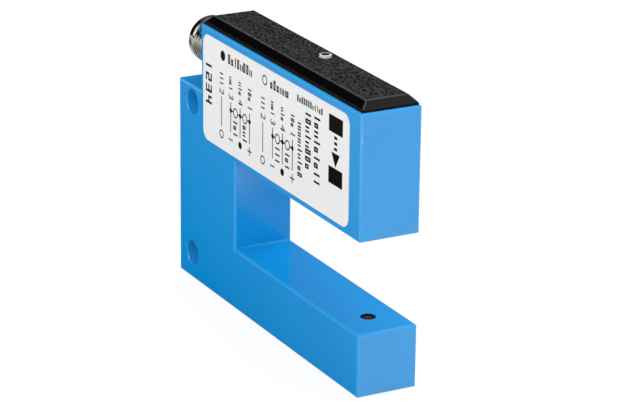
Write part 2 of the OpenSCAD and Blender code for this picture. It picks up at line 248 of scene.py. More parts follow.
class ShaderGraph(NodeGraph):
    """Material's node tree, with the textures that the finishes share."""

    def __init__(self, owner: bpy.types.Material | bpy.types.World) -> None:
        """Clears the owner's nodes.

        Args:
            owner: material or world to write.
        """
        owner.use_nodes = True
        super().__init__(owner.node_tree)
        self.tree.nodes.clear()

    def place(self) -> Wire:
        """Object coordinates, in metres."""
        return self.wire("ShaderNodeTexCoord", output="Object")

    def noise(self, grain: float, detail: float = 2.0, stretch: Sequence[float] = (1, 1, 1)) -> Wire:
        """Cloudy noise from 0 to 1.

        Args:
            grain: size of one cloud, in metres.
            detail: how many finer layers it has.
            stretch: how much finer it is along each axis.

        Returns:
            The noise's level.
        """
        spread = self.wire("ShaderNodeMapping", None, {"Vector": self.place(), "Scale": tuple(stretch)})
        sockets = {"Vector": spread, "Scale": 1 / grain, "Detail": detail}
        return self.wire("ShaderNodeTexNoise", None, sockets)

    def axis(self, name: str) -> Wire:
        """One axis of the object coordinates, X, Y or Z."""
        return self.wire("ShaderNodeSeparateXYZ", None, {0: self.place()}, name)

    def mask(self, name: str) -> Wire:
        """Attribute of the mesh, as a level."""
        return self.wire("ShaderNodeAttribute", {"attribute_name": name}, None, "Fac")

    def mix(self, share: Wire | float, first: Wire | Colour, second: Wire | Colour) -> Wire:
        """Mixes two colours, with the given share of the second."""
        colours = {MIX_SHARE: share, MIX_FIRST: first, MIX_SECOND: second}
        return self.wire("ShaderNodeMix", {"data_type": "RGBA"}, colours, MIX_RESULT)

    def bump(self, height: Wire, depth: float) -> Wire:
        """Turns a height from 0 to 1, where 1 stands for the depth in metres, into a normal."""
        return self.wire("ShaderNodeBump", None, {"Height": height, "Distance": depth, "Strength": 1.0})

    def surface(self, sockets: Sockets) -> None:
        """Ends the tree in one Principled shader with the given inputs."""
        shader = self.wire("ShaderNodeBsdfPrincipled", None, sockets)
        self.node("ShaderNodeOutputMaterial", None, {"Surface": shader})


@dataclass(frozen=True)
class Finish:
    """Finish of a surface, made as a material the first time that it is asked for."""

    name: str

    def material(self) -> bpy.types.Material:
        """Makes the material, or finds the one that was made.

        Returns:
            The material.
        """
        known = bpy.data.materials.get(self.name)
        if known is not None:
            return known
        made = bpy.data.materials.new(self.name)
        self.shade(ShaderGraph(made))
        return made

    def shade(self, graph: ShaderGraph) -> None:
        """Writes the finish's nodes into the graph."""
        raise NotImplementedError


@dataclass(frozen=True)
class CoatedMetal(Finish):
    """Satin coat on a cast body, with a painted highlight along its rounded edges."""

    deep: Colour
    pale: Colour
    # colour of the painted highlight along the rounded edges
    edge: Colour
    cloud: float = 6 * MM
    peel: float = 0.35 * MM
    peel_depth: float = 0.002 * MM
    rough: float = 0.13
    rough_swing: float = 0.05
    edge_highlight_share: float = 0.4
    index: float = 1.75

    def shade(self, graph: ShaderGraph) -> None:
        """Writes cloudy colour, a painted highlight along the rounded edges and a fine orange peel.

        Args:
            graph: the material's graph.
        """
        cloud = graph.noise(self.cloud, detail=3.0)
        peel = graph.noise(self.peel)
        coat = graph.mix(cloud, self.deep, self.pale)
        # painted highlight: the rounded edges, marked by the edge attribute, are mixed towards the edge
        # colour
        colour = graph.mix(graph.mask("edge") * self.edge_highlight_share, coat, self.edge)
        graph.surface(
            {
                "Base Color": colour,
                "Roughness": self.rough + cloud.swing(self.rough_swing),
                "Normal": graph.bump(peel, self.peel_depth),
                "IOR": self.index,
            }
        )


@dataclass(frozen=True)
class MouldedPlastic(Finish):
    """Moulded plastic or rubber with an etched grain."""

    dark: Colour
    light: Colour
    grain: float = 0.3 * MM
    grain_depth: float = 0.01 * MM
    rough: float = 0.55
    rough_swing: float = 0.2
    gloss: float = 0.4
    contrast: float = 3.0
    cloud: float = 12.0
    cloud_swing: float = 0.6

    def shade(self, graph: ShaderGraph) -> None:
        """Writes a grain that lifts the colour where it stands out.

        Args:
            graph: the material's graph.
        """
        fine = graph.noise(self.grain, detail=3.0)
        broad = graph.noise(self.grain * self.cloud)
        lift = fine.swing(self.contrast) + broad.swing(self.cloud_swing) + NOISE_MIDDLE
        tone = lift.most(0.0).least(1.0)
        graph.surface(
            {
                "Base Color": graph.mix(tone, self.dark, self.light),
                "Roughness": self.rough + fine.swing(self.rough_swing),
                "Normal": graph.bump(fine, self.grain_depth),
                "Specular IOR Level": self.gloss,
            }
        )


@dataclass(frozen=True)
class TurnedMetal(Finish):
    """Bare or plated metal with the fine rings that a lathe leaves along X."""

    tone: Colour
    dull: Colour
    rough: float = 0.18
    ring: float = 0.05 * MM
    ring_depth: float = 0.0015 * MM
    stain: float = 1.5 * MM
    stain_swing: float = 0.1
    ring_swing: float = 0.06
    ring_stretch: tuple[float, float, float] = (1.0, 0.02, 0.02)

    def shade(self, graph: ShaderGraph) -> None:
        """Writes rings, and stains that dull the metal a little.

        Args:
            graph: the material's graph.
        """
        rings = graph.noise(self.ring, stretch=self.ring_stretch)
        stain = graph.noise(self.stain, detail=3.0)
        graph.surface(
            {
                "Base Color": graph.mix(stain, self.tone, self.dull),
                "Metallic": 1.0,
                "Roughness": self.rough + stain.swing(self.stain_swing) + rings.swing(self.ring_swing),
                "Normal": graph.bump(rings, self.ring_depth),
            }
        )


@dataclass(frozen=True)
class PrintedFilm(Finish):
    """White label film with a faint weave of its backing."""

    tone: Colour
    shade_tone: Colour
    fibre: float = 0.25 * MM
    fibre_depth: float = 0.003 * MM
    rough: float = 0.42
    rough_swing: float = 0.1
    cloud: float = 6 * MM

    def shade(self, graph: ShaderGraph) -> None:
        """Writes a faint mottle and a soft gloss.

        Args:
            graph: the material's graph.
        """
        fibre = graph.noise(self.fibre, detail=3.0)
        cloud = graph.noise(self.cloud)
        graph.surface(
            {
                "Base Color": graph.mix(cloud, self.tone, self.shade_tone),
                "Roughness": self.rough + cloud.swing(self.rough_swing),
                "Normal": graph.bump(fibre, self.fibre_depth),
            }
        )


@dataclass(frozen=True)
class ClearResin(Finish):
    """Clear or tinted resin, as in lamps, windows and light guides."""

    tint: Colour
    deep: Colour
    clear: float = 0.6
    rough: float = 0.12
    swirl: float = 0.8 * MM
    index: float = 1.5
    rough_swing: float = 0.06
    swirl_depth: float = 0.002 * MM

    def shade(self, graph: ShaderGraph) -> None:
        """Writes a faint swirl through a clear body.

        Args:
            graph: the material's graph.
        """
        swirl = graph.noise(self.swirl)
        graph.surface(
            {
                "Base Color": graph.mix(swirl, self.tint, self.deep),
                "Roughness": self.rough + swirl.swing(self.rough_swing),
                "Transmission Weight": self.clear,
                "IOR": self.index,
                "Normal": graph.bump(swirl, self.swirl_depth),
            }
        )


@dataclass(frozen=True)
class CircuitLaminate(Finish):
    """Glass laminate with copper tracks that show through the solder mask."""

    mask_tone: Colour
    track_tone: Colour
    pitch: float = 1.1 * MM
    width: float = 0.35
    track_height: float = 0.02 * MM
    run: float = 4 * MM
    run_stretch: tuple[float, float, float] = (0.4, 1.0, 1.5)
    run_start: float = 0.48
    weave: float = 0.2 * MM
    rough: float = 0.3
    rough_swing: float = 0.15

    def shade(self, graph: ShaderGraph) -> None:
        """Writes tracks along the board, broken where a slow noise says so.

        Args:
            graph: the material's graph.
        """
        across = graph.axis("Z") * (2 * math.pi / self.pitch)
        runs = graph.noise(self.run, detail=1.0, stretch=self.run_stretch) > self.run_start
        tracks = (across.wave() > (1 - 2 * self.width)) * runs
        weave = graph.noise(self.weave)
        graph.surface(
            {
                "Base Color": graph.mix(tracks, self.mask_tone, self.track_tone),
                "Roughness": self.rough + weave * self.rough_swing,
                "Normal": graph.bump(tracks, self.track_height),
            }
        )


# the third colour is a painted highlight along the body's rounded edges
BLUE_COAT = CoatedMetal("blue_coat", paint(4, 138, 208), paint(10, 143, 212), paint(60, 164, 228))
LID_TOP = MouldedPlastic(
    "lid_grain",
    paint(3, 3, 4),
    paint(56, 56, 57),
    grain=0.45 * MM,
    grain_depth=0.02 * MM,
    rough=0.6,
    gloss=0.1,
    contrast=7.0,
)
# the slopes take a near-black copy of the lid's plastic: painted shade
LID_SLOPE_SHADED = MouldedPlastic(
    "lid_slope",
    paint(0, 0, 0),
    paint(4, 4, 4),
    grain=0.4 * MM,
    grain_depth=0.03 * MM,
    rough=0.3,
    rough_swing=0.1,
    gloss=0.45,
    contrast=7.0,
)
# lighter grey for the lid's rounded edges: a painted highlight
LID_EDGE_HIGHLIGHT = MouldedPlastic(
    "lid_edge_highlight",
    paint(40, 40, 41),
    paint(74, 74, 76),
    grain=0.42 * MM,
    grain_depth=0.003 * MM,
    rough=0.4,
    rough_swing=0.1,
)
SEAL_RUBBER = MouldedPlastic(
    "seal_rubber",
    paint(4, 4, 5),
    paint(12, 12, 12),
    grain=0.2 * MM,
    grain_depth=0.006 * MM,
    rough=0.75,
    rough_swing=0.1,
    gloss=0.2,
)
LABEL_FILM = PrintedFilm("label_film_white", paint(226, 226, 226), paint(220, 220, 221))
LABEL_INK = MouldedPlastic(
    "label_ink",
    paint(0, 0, 0),
    paint(7, 7, 8),
    grain=0.1 * MM,
    grain_depth=0.001 * MM,
    rough=0.5,
    rough_swing=0.1,
    gloss=0.06,
)
NICKEL = TurnedMetal("nickel_plate", paint(206, 203, 196), paint(160, 157, 150), rough=0.14)
GOLD = TurnedMetal("contact_plate", paint(240, 202, 122), paint(214, 170, 92), rough=0.2)
CARRIER = MouldedPlastic(
    "carrier_nylon",
    paint(18, 18, 19),
    paint(38, 38, 40),
    grain=0.25 * MM,
    grain_depth=0.006 * MM,
    rough=0.5,
    rough_swing=0.15,
)
STOP = MouldedPlastic(
    "stop_matt",
    paint(3, 3, 4),
    paint(12, 12, 12),
    grain=0.15 * MM,
    grain_depth=0.006 * MM,
    rough=0.7,
    rough_swing=0.1,
    gloss=0.2,
)
RED_FILTER = ClearResin("red_filter", paint(96, 58, 38), paint(66, 36, 24), clear=0.15, rough=0.3)
CLEAR_LAMP = ClearResin("clear_lamp", paint(232, 236, 240), paint(206, 214, 222), clear=0.75, rough=0.06)
DARK_LAMP = ClearResin("dark_lamp", paint(44, 28, 40), paint(28, 18, 28), clear=0.4, rough=0.08)
YELLOW_LAMP = ClearResin("yellow_lamp", paint(246, 196, 44), paint(226, 166, 30), clear=0.45, rough=0.1)
GUIDE_RIM = ClearResin(
    "guide_rim", paint(250, 250, 248), paint(120, 120, 120), clear=0.12, rough=0.3, swirl=0.5 * MM
)
# dark inside of the guide's cup: painted shade in the recess
GUIDE_CUP_SHADE = ClearResin("guide_cup_shade", paint(12, 12, 11), paint(5, 5, 5), clear=0.1, rough=0.5)
RED_JACKET = MouldedPlastic(
    "red_jacket", paint(168, 26, 22), paint(196, 42, 34), grain_depth=0.004 * MM, rough=0.45
)
BLACK_JACKET = MouldedPlastic(
    "black_jacket", paint(18, 18, 18), paint(34, 34, 35), grain_depth=0.004 * MM, rough=0.45
)
LAMINATE = CircuitLaminate("board_laminate", paint(18, 74, 44), paint(52, 118, 66))
CHIP = MouldedPlastic(
    "chip_resin",
    paint(22, 22, 24),
    paint(40, 40, 43),
    grain=0.12 * MM,
    grain_depth=0.006 * MM,
    rough=0.68,
    rough_swing=0.15,
    gloss=0.35,
)
CAPACITOR = MouldedPlastic(
    "capacitor_resin",
    paint(206, 150, 40),
    paint(226, 172, 62),
    grain=0.2 * MM,
    grain_depth=0.004 * MM,
    rough=0.5,
)


def weld(node: str) -> bmesh.types.BMesh:
    """Copies a node's mesh and merges its loose triangles.

    Args:
        node: name of the solid.

    Returns:
        The copy, closed.
    """
    copy = bmesh.new()
    copy.from_mesh(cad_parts[node].data)
    bmesh.ops.remove_doubles(copy, verts=copy.verts, dist=WELD_GAP)
    return copy


def place_mesh(name: str, shape: bmesh.types.BMesh, finishes: Sequence[Finish]) -> bpy.types.Object:
    """Makes an object of a finished shape.

    Args:
        name: name of the piece.
        shape: its mesh, which is used up.
        finishes: finishes in the order of the faces' material numbers.

    Returns:
        The object, in the scene.
    """
    mesh = bpy.data.meshes.new(name)
    shape.to_mesh(mesh)
    shape.free()
    for finish in finishes:
        mesh.materials.append(finish.material())
    made = bpy.data.objects.new(name, mesh)
    bpy.context.scene.collection.objects.link(made)
    return made


def plain_mesh(holder: bpy.types.Object) -> bpy.types.Mesh:
    """Turns a new object and its modifiers into one plain mesh.

    Args:
        holder: the object, which is used up.

    Returns:
        The mesh.
    """
    bpy.context.scene.collection.objects.link(holder)
    depsgraph = bpy.context.evaluated_depsgraph_get()
    mesh = bpy.data.meshes.new_from_object(holder.evaluated_get(depsgraph), depsgraph=depsgraph)
    bpy.data.objects.remove(holder)
    return mesh


def circle(steps: int) -> list[Point2]:
    """Places the given number of points evenly on a circle of radius 1."""
    turns = [2 * math.pi * step / steps for step in range(steps)]
    return [(math.cos(turn), math.sin(turn)) for turn in turns]


def band(shape: bmesh.types.BMesh, first: Corners, second: Corners) -> list[bmesh.types.BMFace]:
    """Joins two closed rows of as many corners by a band of new faces."""
    around = zip(first, first[1:] + first[:1], second[1:] + second[:1], second)
    return [shape.faces.new(corners) for corners in around]


def flat_areas(shape: bmesh.types.BMesh) -> list[float]:
    """Measures, for each face, the flat area that it is part of.

    Args:
        shape: the geometry, with its face numbers in order.

    Returns:
        The area of each face together with the level faces joined to it.
    """
    areas = [0.0] * len(shape.faces)
    seen: set[int] = set()
    for first in shape.faces:
        if first.index in seen:
            continue
        seen.add(first.index)
        group = [first]
        for face in group:
            for edge in face.edges:
                for beside in edge.link_faces:
                    if beside.index not in seen and beside.normal.dot(face.normal) > LEVEL_SHARE:
                        seen.add(beside.index)
                        group.append(beside)
        total = sum(face.calc_area() for face in group)
        for face in group:
            areas[face.index] = total
    return areas


def smooth(piece: bpy.types.Object, angle: float = 32.0) -> None:
    """Shades curved faces smoothly and keeps flat ones flat.

    Args:
        piece: the piece.
        angle: faces that turn by more than this from each other keep a sharp edge, in degrees.
    """
    shape = bmesh.new()
    shape.from_mesh(piece.data)
    shape.faces.ensure_lookup_table()
    areas = flat_areas(shape)
    limit = math.cos(math.radians(angle))
    normals = []
    for face in shape.faces:
        face.smooth = True
        for corner in face.loops:
            near = [beside for beside in corner.vert.link_faces if beside.normal.dot(face.normal) > limit]
            total = sum((beside.normal * areas[beside.index] for beside in near), Vector())
            normals.append(total.normalized())
    shape.to_mesh(piece.data)
    shape.free()
    piece.data.normals_split_custom_set(normals)


def hand_over(piece: bpy.types.Object, stands_for: Iterable[str] = ()) -> bpy.types.Object:
    """Fixes a finished piece to the part.

    Args:
        piece: the piece, in its place.
        stands_for: solids that the piece is shown for.

    Returns:
        The same piece.
    """
    nodes = tuple(stands_for)
    if nodes:
        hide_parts(*nodes)
    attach(piece, BODY)
    LOG.info("%s: %d faces, for %s", piece.name, len(piece.data.polygons), ", ".join(nodes) or "trim")
    return piece


def dress(node: str, finish: Finish) -> None:
    """Gives a finish to a solid that is shown as it is."""
    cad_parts[node].material_slots[0].material = finish.material()
    LOG.info("%s: dressed as %s", node, finish.name)


def turn_profile(shape: bmesh.types.BMesh, outline: Sequence[Point2], steps: int) -> None:
    """Turns a closed outline about the X axis.

    Args:
        shape: mesh that takes the turned faces.
        outline: places along X and radii, closed from the last to the first.
        steps: how many faces go round.
    """
    rings = [[shape.verts.new((x, r * across, r * up)) for x, r in outline] for up, across in circle(steps)]
    for ring, after in zip(rings, rings[1:] + rings[:1]):
        band(shape, ring, after)
    bmesh.ops.recalc_face_normals(shape, faces=shape.faces)


class GeometryGraph(NodeGraph):
    """Geometry node tree with named sizes, which grows a plain mesh."""

    def __init__(self, name: str) -> None:
        """Starts an empty tree.

        Args:
            name: name of the tree.
        """
        super().__init__(bpy.data.node_groups.new(name, "GeometryNodeTree"))
        self.tree.interface.new_socket("Geometry", in_out="OUTPUT", socket_type="NodeSocketGeometry")
        self.source = self.node("NodeGroupInput")
        self.sink = self.node("NodeGroupOutput")
        self.keys: dict[str, str] = {}

    def size(self, name: str, kind: str = "NodeSocketFloat") -> Wire:
        """Adds a named input.

        Args:
            name: its name.
            kind: its socket type.

        Returns:
            The input as a wire.
        """
        socket = self.tree.interface.new_socket(name, in_out="INPUT", socket_type=kind)
        self.keys[name] = socket.identifier
        return Wire(self, self.source.outputs[name])

    def end(self, geometry: Wire, finish: Wire) -> None:
        """Ends the tree in real faces with one material.

        Args:
            geometry: what the tree has made.
            finish: the material's input.
        """
        real = self.wire("GeometryNodeRealizeInstances", None, {"Geometry": geometry})
        dressed = self.wire("GeometryNodeSetMaterial", None, {"Geometry": real, "Material": finish})
        self.feed(self.sink.inputs["Geometry"], dressed)

    def grow(self, name: str, sizes: dict[str, object]) -> bpy.types.Mesh:
        """Runs the tree once.

        Args:
            name: name of the mesh.
            sizes: values of the named inputs.

        Returns:
            The result as a plain mesh.
        """
        holder = bpy.data.objects.new(name, bpy.data.meshes.new(name))
        rule = holder.modifiers.new("rule", "NODES")
        rule.node_group = self.tree
        for label, value in sizes.items():
            rule[self.keys[label]] = value
        return plain_mesh(holder)


@dataclass
class ForkBody:
    """One-piece fork body, with the coat gathered in the corners of its opening."""

    flat_share: float = 0.999
    wall: float = -10.5 * MM
    arm_top: float = 10.5 * MM
    arm_under: float = 25.5 * MM
    corner: float = 0.35 * MM
    corner_root: float = 0.05 * MM
    corner_steps: int = 8
    end_margin: float = 0.35 * MM

    def build(self) -> None:
        """Copies the solid, fills its inner corners, marks its rounded edges for the coat's painted
        highlight and dresses it.
        """
        shape = weld("housing")
        self._fill(shape, self.arm_top, 1.0)
        self._fill(shape, self.arm_under, -1.0)
        # the edge attribute marks the rounded edges, where the coat paints a highlight
        edge = shape.verts.layers.float.new("edge")
        shape.normal_update()
        for vert in shape.verts:
            rounded = all(max(map(abs, face.normal)) < self.flat_share for face in vert.link_faces)
            vert[edge] = 1.0 if rounded else 0.0
        piece = place_mesh("fork_body", shape, [BLUE_COAT])
        smooth(piece)
        hand_over(piece, ["housing"])

    def _fill(self, shape: bmesh.types.BMesh, level: float, rise: float) -> None:
        """Rounds one inner corner of the opening with a narrow hollow strip.

        Args:
            shape: mesh that takes the strip.
            level: height of the corner.
            rise: 1 where the opening is above the corner, -1 where it is below.
        """
        low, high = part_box("housing")
        size = self.corner
        turns = [math.pi + math.pi / 2 * step / self.corner_steps for step in range(self.corner_steps + 1)]
        hollow = [(size + size * math.cos(t), size + size * math.sin(t)) for t in turns]
        root = -self.corner_root
        outline = [*hollow, (size, root), (root, root), (root, size)]
        ends = []
        for y in (low.y + self.end_margin, high.y - self.end_margin):
            ends.append([shape.verts.new((self.wall + x, y, level + z * rise)) for x, z in outline])
        front, back = ends
        faces = [shape.faces.new(front), shape.faces.new(back[::-1]), *band(shape, back, front)]
        bmesh.ops.recalc_face_normals(shape, faces=faces)


class LidZone(IntEnum):
    """Zones of the lid, in the order of their finishes."""

    TOP = 0
    SLOPE_SHADED = 1
    EDGE_HIGHLIGHT = 2


@dataclass
class Lid:
    """Plastic lid with sloping sides, its seal and the light guide."""

    level_angle: float = math.radians(1)
    edge_angle: float = math.radians(15)
    edge_round: float = 0.16 * MM
    edge_profile: float = 0.5
    edge_steps: int = 3
    skirt_margin: float = 0.3 * MM
    top_share: float = 0.99
    guide_steps: int = 48
    rod_share: float = 2 / 3
    flange_gap: float = 0.05 * MM
    flange_tall: float = 0.5 * MM
    head_round: float = 0.15 * MM
    head_near: float = 0.12
    head_far: float = 0.5
    head_angle: float = 50.0
    cup_wall: float = 0.3 * MM
    cup_depth: float = 0.5 * MM
    cup_light: float = 0.05 * MM
    cup_slack: float = 0.005 * MM

    def build(self) -> None:
        """Builds the lid and the guide, and dresses the seal."""
        self._cap()
        self._guide()
        dress("lid_seal", SEAL_RUBBER)

    def _cap(self) -> None:
        """Rounds the solid's upper edges and gives top, edges and slopes their own finish, with a painted
        highlight on the edges and painted shade on the slopes.
        """
        shape = weld("lid")
        bmesh.ops.dissolve_limit(
            shape, angle_limit=self.level_angle, verts=shape.verts, edges=shape.edges, delimit={"NORMAL"}
        )
        lid_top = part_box("lid")[1].z
        seal_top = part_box("lid_seal")[1].z
        guide_low, guide_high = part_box("light_guide")
        middle = (guide_low + guide_high) / 2
        reach = (guide_high.x - guide_low.x) / 2

        def outer(edge: bmesh.types.BMEdge) -> bool:
            """Tells whether an edge is one of the lid's own upper edges.

            Args:
                edge: the edge.

            Returns:
                True where it is one.
            """
            spots = [v.co for v in edge.verts]
            above = max(s.z for s in spots) > seal_top + self.skirt_margin
            clear = all(math.hypot(s.x - middle.x, s.y - middle.y) > reach for s in spots)
            return above and clear and edge.calc_face_angle(0.0) > self.edge_angle

        edges = [edge for edge in shape.edges if outer(edge)]
        bmesh.ops.bevel(
            shape,
            geom=edges,
            offset=self.edge_round,
            offset_type="OFFSET",
            segments=self.edge_steps,
            profile=self.edge_profile,
            affect="EDGES",
            material=LidZone.EDGE_HIGHLIGHT.value,
            clamp_overlap=True,
        )
        # slopes get the painted shade finish, the rounded edges keep the painted highlight finish
        for face in shape.faces:
            if face.material_index == LidZone.EDGE_HIGHLIGHT.value:
                continue
            top = face.normal.z > self.top_share and face.calc_center_median().z > lid_top - self.edge_round
            face.material_index = (LidZone.TOP if top else LidZone.SLOPE_SHADED).value
        piece = place_mesh("lid_cap", shape, [LID_TOP, LID_SLOPE_SHADED, LID_EDGE_HIGHLIGHT])
        smooth(piece)
        hand_over(piece, ["lid"])

    def _guide(self) -> None:
        """Builds the light guide, with a flange under the lid and a cup in its rounded head, whose inner
        faces are painted dark as shade.
        """
        low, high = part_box("light_guide")
        centre = (low + high) / 2
        foot = (high.x - low.x) / 2
        rod = foot * self.rod_share
        cup = rod - self.cup_wall
        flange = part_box("lid_seal")[1].z - self.flange_gap
        rise = self.head_round
        cup_floor = high.z - self.cup_depth
        outline = [
            (rod, low.z),
            (rod, flange - self.flange_tall),
            (foot, flange - self.flange_tall),
            (foot, flange),
            (rod, flange),
            (rod, high.z - rise),
            (rod - rise * self.head_near, high.z - rise * self.head_far),
            (rod - rise * self.head_far, high.z - rise * self.head_near),
            (rod - rise, high.z),
            (cup, high.z),
            (cup, high.z - self.cup_light),
            (cup, cup_floor),
        ]
        shape = bmesh.new()
        turns = circle(self.guide_steps)
        rings = [[shape.verts.new((r * x, r * y, z)) for x, y in turns] for r, z in outline]
        for lower, upper in zip(rings, rings[1:]):
            band(shape, lower, upper)
        shape.faces.new(rings[0][::-1])
        shape.faces.new(rings[-1])
        shape.transform(Matrix.Translation((centre.x, centre.y, 0)))
        bmesh.ops.recalc_face_normals(shape, faces=shape.faces)
        # faces inside the cup take the dark finish: painted shade
        for face in shape.faces:
            spot = face.calc_center_median()
            inside = math.hypot(spot.x - centre.x, spot.y - centre.y) < cup + self.cup_slack
            deep = cup_floor - self.cup_slack < spot.z < high.z - self.cup_light
            face.material_index = 1 if inside and deep else 0
        piece = place_mesh("light_guide_lens", shape, [GUIDE_RIM, GUIDE_CUP_SHADE])
        smooth(piece, self.head_angle)
        hand_over(piece, ["light_guide"])


class Reading(Enum):
    """Which way a row of print runs, as a turn in degrees."""

    ALONG = 0.0
    DOWN = -90.0


class Block(Enum):
    """Where a bar of a bold number lies: its ends across and up, in widths and half heights."""

    STEM = (0.5, 0, 0.5, 2)
    BASE = (0, 0, 1, 0)
    MIDDLE = (0, 1, 1, 1)
    TOP = (0, 2, 1, 2)
    LOW_LEFT = (0, 0, 0, 1)
    HIGH_LEFT = (0, 1, 0, 2)
    HIGH_RIGHT = (1, 1, 1, 2)
    RIGHT = (1, 0, 1, 2)


BOLD_NUMBERS = (
    (Block.STEM,),
    (Block.TOP, Block.HIGH_RIGHT, Block.MIDDLE, Block.LOW_LEFT, Block.BASE),
    (Block.TOP, Block.RIGHT, Block.MIDDLE, Block.BASE),
    (Block.HIGH_LEFT, Block.MIDDLE, Block.RIGHT),
)


@dataclass
class WiringDiagram:
    """One wiring diagram on the label: four numbered wires and two loads."""

    left: float
    pitch: float = 3.38
    numbers: tuple[str, ...] = ("2", "3", "4", "1")
    words: int = 3
    word_top: float = 13.3
    word_tall: float = 1.2
    number_v: float = 9.9
    line_top: float = 9.0
    line_low: float = 3.9
    mark_v: float = 2.6
    load_v: float = 7.6
    load_r: float = 0.85
    load_drop: float = 1.2
    load_tall: float = 1.5
    dot_r: float = 0.42
    mark_r: float = 0.75
    output_share: float = 0.8


@dataclass(frozen=True)
class MarkRow:
    """Row of marks in place of words: its start on the base line, its marks, and the seed of their order."""

    start: Point2
    marks: int
    tall: float
    seed: int
    reading: Reading = Reading.ALONG


@dataclass
class TypeLabel:
    """Label film with generic print, in mm: numbered wires, loads, rows of marks and a beam sign."""

    ink: float = 0.012
    stroke: float = 0.22
    digit: float = 2.3
    diagrams: tuple[WiringDiagram, ...] = (WiringDiagram(left=6.8), WiringDiagram(left=21.6))
    row_u: float = 2.1
    row_top: float = 13.1
    row_pitch: float = 1.95
    row_wide: float = 0.98
    row_tall: float = 1.8
    row_stroke: float = 0.4
    heads: tuple[float, float] = (7.3, 22.2)
    head_v: float = 16.1
    head_r: float = 0.85
    rows: tuple[MarkRow, ...] = (
        MarkRow((9.2, 15.3), marks=8, tall=1.6, seed=3),
        MarkRow((24.1, 15.3), marks=6, tall=1.6, seed=5),
        MarkRow((33.2, 15.8), marks=12, tall=1.05, seed=8),
        MarkRow((33.5, 12.5), marks=9, tall=1.5, seed=11, reading=Reading.DOWN),
        MarkRow((36.0, 15.1), marks=8, tall=1.8, seed=14, reading=Reading.DOWN),
        MarkRow((38.9, 15.3), marks=9, tall=1.9, seed=17, reading=Reading.DOWN),
    )
    sign_u: float = 45.8
    sign_wide: float = 4.4
    sign_top: float = 16.8
    sign_low: float = 5.8
    block_tall: float = 2.7
    arrow_share: float = 0.6
    dash_share: float = 0.22
    dashes: int = 3
    mark_pitch: float = 0.68
    mark_wide: float = 0.66
    mark_low: float = 0.66
    mark_stroke: float = 0.19
    shape: bmesh.types.BMesh = field(default_factory=bmesh.new)
    rule: GeometryGraph | None = None

    def build(self) -> None:
        """Dresses the film and prints on it."""
        dress("type_label", LABEL_FILM)
        for step, bars in enumerate(BOLD_NUMBERS):
            self._bold(bars, (self.row_u, self.row_top - step * self.row_pitch))
        for diagram in self.diagrams:
            self._diagram(diagram)
        solid_head, open_head = self.heads
        self._disc(solid_head, self.head_v, self.head_r)
        self._ring(open_head, self.head_v, self.head_r)
        for row in self.rows:
            self._marks(row)
        self._sign()
        low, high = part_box("type_label")
        stand = Matrix.Translation((low.x, low.y, low.z)) @ Matrix.Rotation(math.pi / 2, 4, "X")
        self.shape.transform(stand @ Matrix.Scale(MM, 4))
        piece = place_mesh("label_print", self.shape, [LABEL_INK])
        hand_over(piece)

    def _prism(self, outline: Sequence[Point2]) -> None:
        """Prints one filled outline.

        Args:
            outline: its corners, anticlockwise.
        """
        low = [self.shape.verts.new((u, v, -self.ink)) for u, v in outline]
        high = [self.shape.verts.new((u, v, self.ink)) for u, v in outline]
        self.shape.faces.new(high)
        self.shape.faces.new(low[::-1])
        band(self.shape, low, high)

    def _bar(self, left: float, low: float, right: float, high: float) -> None:
        """Prints a filled rectangle."""
        self._prism([(left, low), (right, low), (right, high), (left, high)])

    def _upright(self, u: float, low: float, high: float) -> None:
        """Prints an upright line."""
        self._bar(u - self.stroke / 2, low, u + self.stroke / 2, high)

    def _level(self, left: float, right: float, v: float) -> None:
        """Prints a level line."""
        self._bar(left, v - self.stroke / 2, right, v + self.stroke / 2)

    def _disc(self, u: float, v: float, radius: float, steps: int = 24) -> None:
        """Prints a filled circle."""
        self._prism([(u + radius * across, v + radius * up) for across, up in circle(steps)])

    def _ring(self, u: float, v: float, radius: float, steps: int = 32) -> None:
        """Prints an open circle.

        Args:
            u: centre along the label.
            v: centre up the label.
            radius: outer radius.
            steps: how many flats make the ring.
        """
        inner = radius - self.stroke
        section = [(inner, self.ink), (inner, -self.ink), (radius, -self.ink), (radius, self.ink)]
        rounds = []
        for across, up in circle(steps):
            rounds.append([self.shape.verts.new((u + r * across, v + r * up, z)) for r, z in section])
        for first, second in zip(rounds, rounds[1:] + rounds[:1]):
            band(self.shape, first, second)

    def _bold(self, bars: Iterable[Block], spot: Point2) -> None:
        """Prints a bold number of plain bars that reads downwards.

        Args:
            bars: the bars that make it.
            spot: its middle on the label.
        """
        half = self.row_stroke / 2
        for bar in bars:
            left, low, right, high = bar.value
            ends = [spot[0] + (rise - 1) * self.row_tall / 2 for rise in (low, high)]
            sides = [spot[1] + (0.5 - across) * self.row_wide for across in (right, left)]
            self._bar(ends[0] - half, sides[0] - half, ends[1] + half, sides[1] + half)

    def _stamp(self, mesh: bpy.types.Mesh, spot: Point2, reading: Reading) -> None:
        """Puts a flat mesh on the label.

        Args:
            mesh: the mesh, which is used up.
            spot: where its origin goes.
            reading: which way it runs.
        """
        turn = Matrix.Rotation(math.radians(reading.value), 4, "Z")
        mesh.transform(Matrix.Translation((*spot, 0)) @ turn)
        self.shape.from_mesh(mesh)
        bpy.data.meshes.remove(mesh)

    def _digit(self, text: str, spot: Point2) -> None:
        """Prints a number that reads downwards.

        Args:
            text: the number.
            spot: its middle on the label.
        """
        curve = bpy.data.curves.new("digit", "FONT")
        curve.body = text
        curve.size = self.digit
        curve.align_x = "CENTER"
        curve.align_y = "CENTER"
        curve.extrude = self.ink
        self._stamp(plain_mesh(bpy.data.objects.new("digit", curve)), spot, Reading.DOWN)

